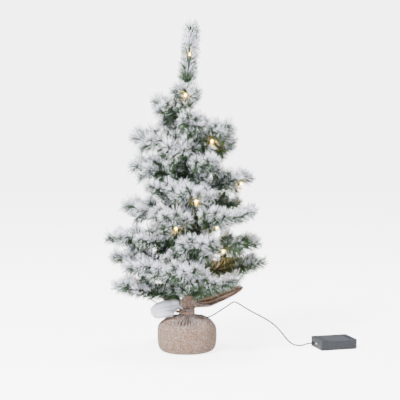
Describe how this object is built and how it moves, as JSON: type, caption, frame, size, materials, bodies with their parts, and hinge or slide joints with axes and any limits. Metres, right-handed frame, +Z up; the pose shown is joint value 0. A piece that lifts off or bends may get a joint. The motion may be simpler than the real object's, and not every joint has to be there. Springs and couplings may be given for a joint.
{
  "type": "artificial tabletop tree",
  "caption": "Small snow-flocked artificial fir in a tied jute sack, with warm white lights on bendable wire branches and a separate battery box on a thin lead.",
  "frame": {"origin": "centre of the sack's underside, where the part stands", "axes": "+Z up the trunk, -Y towards the viewer, +X towards the battery box"},
  "size_m": [0.4535, 0.2207, 0.5918],
  "materials": {
    "needles": "green film needles under white flock",
    "bark_tape": "wound tape",
    "steel": "drawn wire",
    "cement": "cast",
    "jute": "open plain weave",
    "twine": "twisted, hairy",
    "green_wire": "soft extruded insulation",
    "bulb": "clear, warm",
    "grommet_rubber": "moulded",
    "box_plastic": "moulded, fine texture",
    "cell_jacket": "plain jacket",
    "nickel": "nickel plate",
    "switch_black": "moulded",
    "circuit_board": "solder mask"
  },
  "bodies": {
    "root": {"cement_weight": "cement", "jute_sack": "jute", "twine_tie": "twine", "trunk_rod": "steel", "trunk_wrap": "bark_tape", "light_wire": "green_wire", "power_cord": "green_wire", "cord_grommet": "grommet_rubber", "battery_case": "box_plastic", "batteries": "cell_jacket", "battery_contacts": "nickel", "switch_body": "switch_black", "timer_board": "circuit_board"},
    "lid": {"battery_lid": "box_plastic"},
    "switch": {"switch_slider": "switch_black"},
    "leader": {"leader": "needles", "light_14": "bulb"},
    "branch_01": {"branch_01": "needles"},
    "branch_02": {"branch_02": "needles"},
    "branch_03": {"branch_03": "needles", "light_01": "bulb"},
    "branch_04": {"branch_04": "needles"},
    "branch_05": {"branch_05": "needles"},
    "branch_06": {"branch_06": "needles"},
    "branch_07": {"branch_07": "needles", "light_02": "bulb"},
    "branch_08": {"branch_08": "needles"},
    "branch_09": {"branch_09": "needles", "light_03": "bulb"},
    "branch_10": {"branch_10": "needles", "light_04": "bulb"},
    "branch_11": {"branch_11": "needles"},
    "branch_12": {"branch_12": "needles", "light_05": "bulb"},
    "branch_13": {"branch_13": "needles", "light_06": "bulb"},
    "branch_14": {"branch_14": "needles"},
    "branch_15": {"branch_15": "needles"},
    "branch_16": {"branch_16": "needles", "light_07": "bulb"},
    "branch_17": {"branch_17": "needles", "light_08": "bulb"},
    "branch_18": {"branch_18": "needles"},
    "branch_19": {"branch_19": "needles", "light_09": "bulb"},
    "branch_20": {"branch_20": "needles"},
    "branch_21": {"branch_21": "needles"},
    "branch_22": {"branch_22": "needles", "light_10": "bulb"},
    "branch_23": {"branch_23": "needles"},
    "branch_24": {"branch_24": "needles"},
    "branch_25": {"branch_25": "needles"},
    "branch_26": {"branch_26": "needles", "light_11": "bulb"},
    "branch_27": {"branch_27": "needles", "light_12": "bulb"},
    "branch_28": {"branch_28": "needles"},
    "branch_29": {"branch_29": "needles"},
    "branch_30": {"branch_30": "needles", "light_13": "bulb"}
  },
  "joints": [
    {"name": "lid_slide", "type": "slide", "parent": "root", "child": "lid", "axis": [0.9613, 0.2756, 0], "range_m": [0, 0.05]},
    {"name": "switch_slide", "type": "slide", "parent": "root", "child": "switch", "axis": [-0.2756, 0.9613, 0], "range_m": [0, 0.004]},
    {"name": "leader_bend", "type": "hinge", "parent": "root", "child": "leader", "pos_m": [0, 0, 0.484], "axis": [0, 1, 0], "range_deg": [-15, 15]},
    {"name": "branch_01_bend", "type": "hinge", "parent": "root", "child": "branch_01", "pos_m": [-0.0073, 0, 0.1], "axis": [0, 1, 0], "range_deg": [-4, 15]},
    {"name": "branch_02_bend", "type": "hinge", "parent": "root", "child": "branch_02", "pos_m": [0.00575, -0.00449, 0.106], "axis": [-0.6157, -0.788, 0], "range_deg": [-12, 15]},
    {"name": "branch_03_bend", "type": "hinge", "parent": "root", "child": "branch_03", "pos_m": [0.0025, 0.00686, 0.116], "axis": [0.9397, -0.342, 0], "range_deg": [-12, 15]},
    {"name": "branch_04_bend", "type": "hinge", "parent": "root", "child": "branch_04", "pos_m": [-0.00026, -0.0073, 0.125], "axis": [-0.9994, 0.0349, 0], "range_deg": [-12, 15]},
    {"name": "branch_05_bend", "type": "hinge", "parent": "root", "child": "branch_05", "pos_m": [0.00719, 0.00127, 0.141], "axis": [0.1736, -0.9848, 0], "range_deg": [-12, 15]},
    {"name": "branch_06_bend", "type": "hinge", "parent": "root", "child": "branch_06", "pos_m": [-0.00612, -0.00398, 0.146], "axis": [-0.5446, 0.8387, 0], "range_deg": [-12, 15]},
    {"name": "branch_07_bend", "type": "hinge", "parent": "root", "child": "branch_07", "pos_m": [-0.00686, 0.0025, 0.155], "axis": [0.342, 0.9397, 0], "range_deg": [-12, 15]},
    {"name": "branch_08_bend", "type": "hinge", "parent": "root", "child": "branch_08", "pos_m": [0.00201, -0.00702, 0.167], "axis": [-0.9613, -0.2756, 0], "range_deg": [-12, 15]},
    {"name": "branch_09_bend", "type": "hinge", "parent": "root", "child": "branch_09", "pos_m": [0.00702, -0.00201, 0.184], "axis": [-0.2756, -0.9613, 0], "range_deg": [-12, 15]},
    {"name": "branch_10_bend", "type": "hinge", "parent": "root", "child": "branch_10", "pos_m": [-0.00274, 0.00677, 0.188], "axis": [0.9272, 0.3746, 0], "range_deg": [-12, 15]},
    {"name": "branch_11_bend", "type": "hinge", "parent": "root", "child": "branch_11", "pos_m": [-0.00702, -0.00201, 0.196], "axis": [-0.2756, 0.9613, 0], "range_deg": [-12, 15]},
    {"name": "branch_12_bend", "type": "hinge", "parent": "root", "child": "branch_12", "pos_m": [0.00619, -0.00387, 0.22], "axis": [-0.5299, -0.848, 0], "range_deg": [-12, 15]},
    {"name": "branch_13_bend", "type": "hinge", "parent": "root", "child": "branch_13", "pos_m": [-0.00297, -0.00667, 0.222], "axis": [-0.9135, 0.4067, 0], "range_deg": [-12, 15]},
    {"name": "branch_14_bend", "type": "hinge", "parent": "root", "child": "branch_14", "pos_m": [-0.00714, 0.00152, 0.24], "axis": [0.2079, 0.9781, 0], "range_deg": [-12, 15]},
    {"name": "branch_15_bend", "type": "hinge", "parent": "root", "child": "branch_15", "pos_m": [0.00575, 0.00449, 0.244], "axis": [0.6157, -0.788, 0], "range_deg": [-12, 15]},
    {"name": "branch_16_bend", "type": "hinge", "parent": "root", "child": "branch_16", "pos_m": [0.00177, -0.00708, 0.26], "axis": [-0.9703, -0.2419, 0], "range_deg": [-12, 15]},
    {"name": "branch_17_bend", "type": "hinge", "parent": "root", "child": "branch_17", "pos_m": [-0.0032, 0.00656, 0.276], "axis": [0.8988, 0.4384, 0], "range_deg": [-12, 15]},
    {"name": "branch_18_bend", "type": "hinge", "parent": "root", "child": "branch_18", "pos_m": [-0.00525, -0.00507, 0.278], "axis": [-0.6947, 0.7193, 0], "range_deg": [-12, 15]},
    {"name": "branch_19_bend", "type": "hinge", "parent": "root", "child": "branch_19", "pos_m": [0.0073, 0.00026, 0.292], "axis": [0.0349, -0.9994, 0], "range_deg": [-12, 15]},
    {"name": "branch_20_bend", "type": "hinge", "parent": "root", "child": "branch_20", "pos_m": [-0.00726, 0.00076, 0.316], "axis": [0.1045, 0.9945, 0], "range_deg": [-12, 15]},
    {"name": "branch_21_bend", "type": "hinge", "parent": "root", "child": "branch_21", "pos_m": [0.00429, -0.00591, 0.322], "axis": [-0.809, -0.5878, 0], "range_deg": [-12, 15]},
    {"name": "branch_22_bend", "type": "hinge", "parent": "root", "child": "branch_22", "pos_m": [0.00127, 0.00719, 0.3255], "axis": [0.9848, -0.1736, 0], "range_deg": [-12, 15]},
    {"name": "branch_23_bend", "type": "hinge", "parent": "root", "child": "branch_23", "pos_m": [-0.00343, -0.00645, 0.35], "axis": [-0.8829, 0.4695, 0], "range_deg": [-12, 15]},
    {"name": "branch_24_bend", "type": "hinge", "parent": "root", "child": "branch_24", "pos_m": [0.00656, 0.0032, 0.357], "axis": [0.4384, -0.8988, 0], "range_deg": [-12, 15]},
    {"name": "branch_25_bend", "type": "hinge", "parent": "root", "child": "branch_25", "pos_m": [-0.00728, -0.00051, 0.37], "axis": [-0.0698, 0.9976, 0], "range_deg": [-12, 15]},
    {"name": "branch_26_bend", "type": "hinge", "parent": "root", "child": "branch_26", "pos_m": [0.00719, -0.00127, 0.378], "axis": [-0.1736, -0.9848, 0], "range_deg": [-12, 15]},
    {"name": "branch_27_bend", "type": "hinge", "parent": "root", "child": "branch_27", "pos_m": [-0.00343, 0.00645, 0.396], "axis": [0.8829, 0.4695, 0], "range_deg": [-12, 15]},
    {"name": "branch_28_bend", "type": "hinge", "parent": "root", "child": "branch_28", "pos_m": [0.0025, -0.00686, 0.399], "axis": [-0.9397, -0.342, 0], "range_deg": [-12, 15]},
    {"name": "branch_29_bend", "type": "hinge", "parent": "root", "child": "branch_29", "pos_m": [-0.00686, -0.0025, 0.427], "axis": [-0.342, 0.9397, 0], "range_deg": [-12, 15]},
    {"name": "branch_30_bend", "type": "hinge", "parent": "root", "child": "branch_30", "pos_m": [-0.00026, -0.0073, 0.447], "axis": [-0.9994, 0.0349, 0], "range_deg": [-12, 15]}
  ]
}
